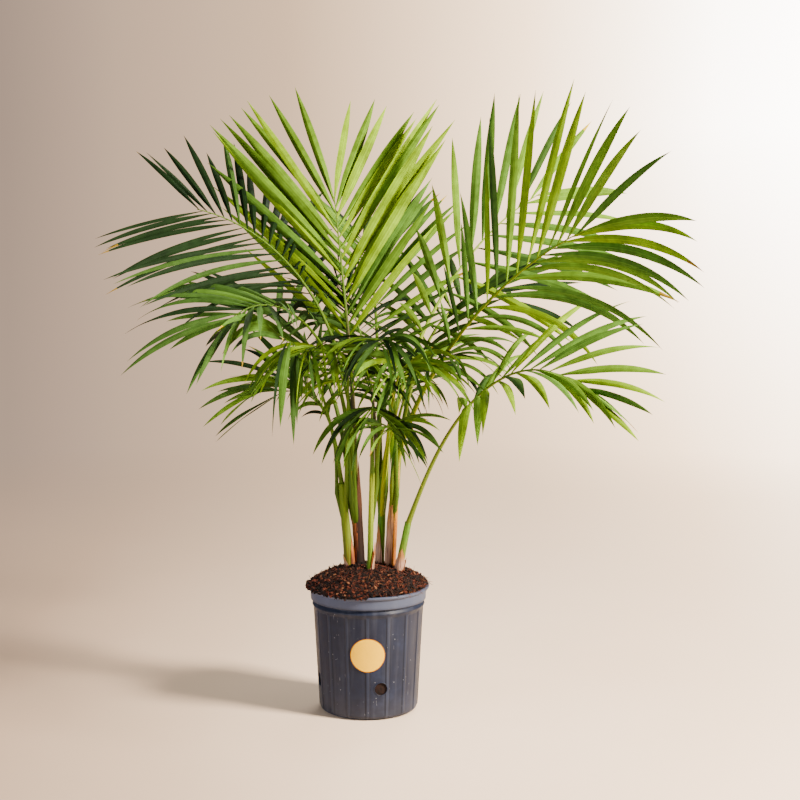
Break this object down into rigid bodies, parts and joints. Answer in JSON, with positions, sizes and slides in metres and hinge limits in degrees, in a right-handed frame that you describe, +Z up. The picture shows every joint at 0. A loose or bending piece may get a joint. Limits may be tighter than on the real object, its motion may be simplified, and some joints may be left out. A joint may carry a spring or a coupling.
{
  "type": "potted majesty palm",
  "caption": "Potted feather-leaved palm in a dark fluted nursery pot, with slim stems and arching fronds, standing on the pot's flat underside.",
  "frame": {"origin": "centre of the pot's flat underside, where the plant stands on the floor", "axes": "+Z up along the pot's axis, -Y towards the side with the round label, +X to the right when that side is faced"},
  "size_m": [1.1411, 1.2203, 1.2979],
  "materials": {
    "pot_plastic": "satin",
    "label_paper": "matte",
    "bark_soil": "matte",
    "stem": "satin",
    "stalk": "satin",
    "leaf": "satin"
  },
  "bodies": {
    "root": {"pot": "pot_plastic", "label": "label_paper", "soil": "bark_soil", "stem_left": "stem", "stem_brown": "stem", "stem_front": "stem", "stem_middle": "stem", "stem_right": "stem", "stem_outer": "stem", "petiole_upright": "stalk", "petiole_left_high": "stalk", "petiole_left_mid": "stalk", "petiole_left_low": "stalk", "petiole_left_small": "stalk", "petiole_left_curl": "stalk", "petiole_front_fan": "stalk", "petiole_right_front": "stalk", "petiole_right_high": "stalk", "petiole_right_low": "stalk", "petiole_centre_fan": "stalk", "petiole_right_small": "stalk", "petiole_back_tall": "stalk", "petiole_back_left": "stalk", "petiole_back_right": "stalk", "petiole_back_low": "stalk", "petiole_centre_left": "stalk", "petiole_centre_right": "stalk", "petiole_inner_left": "stalk", "petiole_inner_right": "stalk", "petiole_inner_back": "stalk", "frond_upright": "leaf", "frond_left_high": "leaf", "frond_left_mid": "leaf", "frond_left_low": "leaf", "frond_left_small": "leaf", "frond_left_curl": "leaf", "frond_front_fan": "leaf", "frond_right_front": "leaf", "frond_right_high": "leaf", "frond_right_low": "leaf", "frond_centre_fan": "leaf", "frond_right_small": "leaf", "frond_back_tall": "leaf", "frond_back_left": "leaf", "frond_back_right": "leaf", "frond_back_low": "leaf", "frond_centre_left": "leaf", "frond_centre_right": "leaf", "frond_inner_left": "leaf", "frond_inner_right": "leaf", "frond_inner_back": "leaf"}
  },
  "joints": []
}
